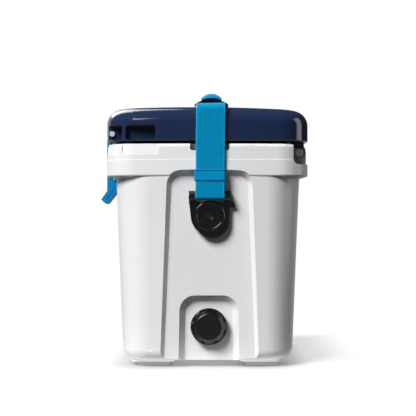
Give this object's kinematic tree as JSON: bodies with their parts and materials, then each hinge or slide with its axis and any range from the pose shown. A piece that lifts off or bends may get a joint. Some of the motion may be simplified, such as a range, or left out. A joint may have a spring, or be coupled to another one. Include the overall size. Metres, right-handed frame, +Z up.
{
  "type": "hard cooler",
  "caption": "Small double-walled hard cooler with a hinged lid, front latch, webbing carry strap on pivoting brackets, screw drain cap and rubber feet.",
  "frame": {"origin": "on the floor under the middle of the bounding box", "axes": "+X along the length towards the drain, +Y towards the hinges, +Z up"},
  "size_m": [0.3866, 0.3108, 0.3942],
  "materials": {
    "white_shell": "smooth moulded polyethylene, satin",
    "white_liner": "smooth moulded polyethylene",
    "foam": "rigid polyurethane foam, sealed inside",
    "navy_shell": "smooth moulded polyethylene, glossy",
    "blue_latch": "moulded thermoplastic elastomer, satin",
    "blue_webbing": "woven polyester webbing",
    "black_plastic": "moulded nylon, fine matte grain",
    "dark_plastic": "moulded nylon, dark grey",
    "black_rubber": "moulded rubber",
    "foot_rubber": "moulded rubber, grey green",
    "steel": "stainless steel",
    "steel_dark": "stainless steel, black coated"
  },
  "bodies": {
    "cooler": {"body_shell": "white_shell", "body_liner": "white_liner", "body_foam": "foam", "hinge_blocks": "dark_plastic", "hinge_pins": "steel_dark", "block_screws": "steel", "drain_spout": "black_plastic", "drain_nut": "black_plastic", "pivot_buttons": "black_plastic", "pivot_screws": "steel_dark", "pivot_washers": "black_plastic", "foot_pads": "foot_rubber", "foot_screws": "steel"},
    "lid": {"lid_shell": "navy_shell", "lid_liner": "white_liner", "lid_foam": "foam", "lid_gasket": "black_rubber", "hinge_lugs": "black_plastic", "lug_screws": "steel", "latch_rod": "steel"},
    "latch": {"latch": "blue_latch"},
    "strap": {"strap_webbing": "blue_webbing", "strap_keepers": "blue_webbing", "strap_brackets": "black_plastic", "strap_bars": "steel"},
    "slider": {"strap_slider": "black_plastic", "strap_fold": "blue_webbing"},
    "drain_ring": {"drain_ring": "black_rubber"},
    "drain_cap": {"drain_cap": "black_plastic"}
  },
  "joints": [
    {"name": "lid_hinge", "type": "hinge", "parent": "cooler", "child": "lid", "pos_m": [0, 0.1421, 0.309], "axis": [-1, 0, 0], "range_deg": [0, 95]},
    {"name": "latch_hinge", "type": "hinge", "parent": "lid", "child": "latch", "pos_m": [0, -0.1281, 0.3356], "axis": [-1, 0, 0], "range_deg": [0, 95]},
    {"name": "strap_swing", "type": "hinge", "parent": "cooler", "child": "strap", "pos_m": [0, 0.0126, 0.2177], "axis": [-1, 0, 0], "range_deg": [-118, 118], "deforming": ["strap_webbing", "strap_keepers", "strap_slider", "strap_fold"]},
    {"name": "slider_slide", "type": "slide", "parent": "strap", "child": "slider", "axis": [1, 0, 0], "range_m": [-0.12, 0.008]},
    {"name": "drain_pull", "type": "slide", "parent": "cooler", "child": "drain_ring", "axis": [1, 0, 0], "range_m": [0, 0.024]},
    {"name": "drain_turn", "type": "hinge", "parent": "drain_ring", "child": "drain_cap", "pos_m": [0.165, 0.0114, 0.059], "axis": [1, 0, 0], "range_deg": [0, 1440]}
  ],
  "couplings": [
    {"joint": "drain_turn", "follows": "drain_pull", "rad_per_m": 1047.2}
  ]
}
